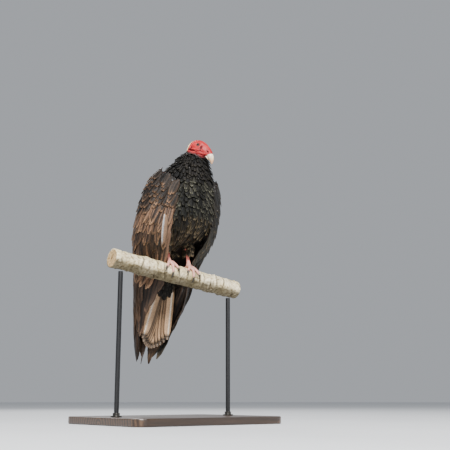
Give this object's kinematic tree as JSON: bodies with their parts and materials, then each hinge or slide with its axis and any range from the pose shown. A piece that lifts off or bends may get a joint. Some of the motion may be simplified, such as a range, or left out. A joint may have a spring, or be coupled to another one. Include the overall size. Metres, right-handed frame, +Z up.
{
  "type": "turkey vulture on a perch",
  "caption": "Life-size still model of a perched turkey vulture with folded wings and bare red head, gripping a cut branch on a plain display stand.",
  "frame": {"origin": "middle of the display stand's underside, on the floor", "axes": "+Z up, the bird faces -Y, its left side is +X, the branch runs along X and slopes down to +X"},
  "size_m": [0.44, 0.35, 0.7303],
  "materials": {
    "body_feathers": "soft black-brown contour feathers with a faint grey and olive sheen",
    "wing_feathers": "worn dark brown vanes with paler tan edges",
    "tail_feathers": "silvery tan-brown undersides with pale shafts",
    "head_skin": "bare crimson and pink skin, wrinkled, slightly moist",
    "leg_skin": "scaled skin, pinkish red above and chalky below",
    "bill": "satin ivory horn",
    "eye": "wet dark brown",
    "claw": "satin dark horn",
    "bark": "pale cream bark with olive stains and ring scars, sawn pale ends",
    "stand_base": "dark satin-varnished board",
    "stand_rods": "satin dark grey"
  },
  "bodies": {
    "root": {"trunk": "body_feathers", "neck": "body_feathers", "thigh_right": "body_feathers", "thigh_left": "body_feathers", "wing_right": "wing_feathers", "wing_left": "wing_feathers", "primaries_right": "wing_feathers", "primaries_left": "wing_feathers", "tail": "tail_feathers", "head": "head_skin", "eye_right": "eye", "eye_left": "eye", "bill_upper": "bill", "bill_lower": "bill", "leg_right": "leg_skin", "leg_left": "leg_skin", "foot_right": "leg_skin", "foot_left": "leg_skin", "perch_branch": "bark", "stand_base": "stand_base", "stand_rod_right": "stand_rods", "stand_rod_left": "stand_rods", "claw_inner_right": "claw", "claw_inner_left": "claw", "claw_middle_right": "claw", "claw_middle_left": "claw", "claw_outer_right": "claw", "claw_outer_left": "claw", "claw_hind_right": "claw", "claw_hind_left": "claw"}
  },
  "joints": []
}
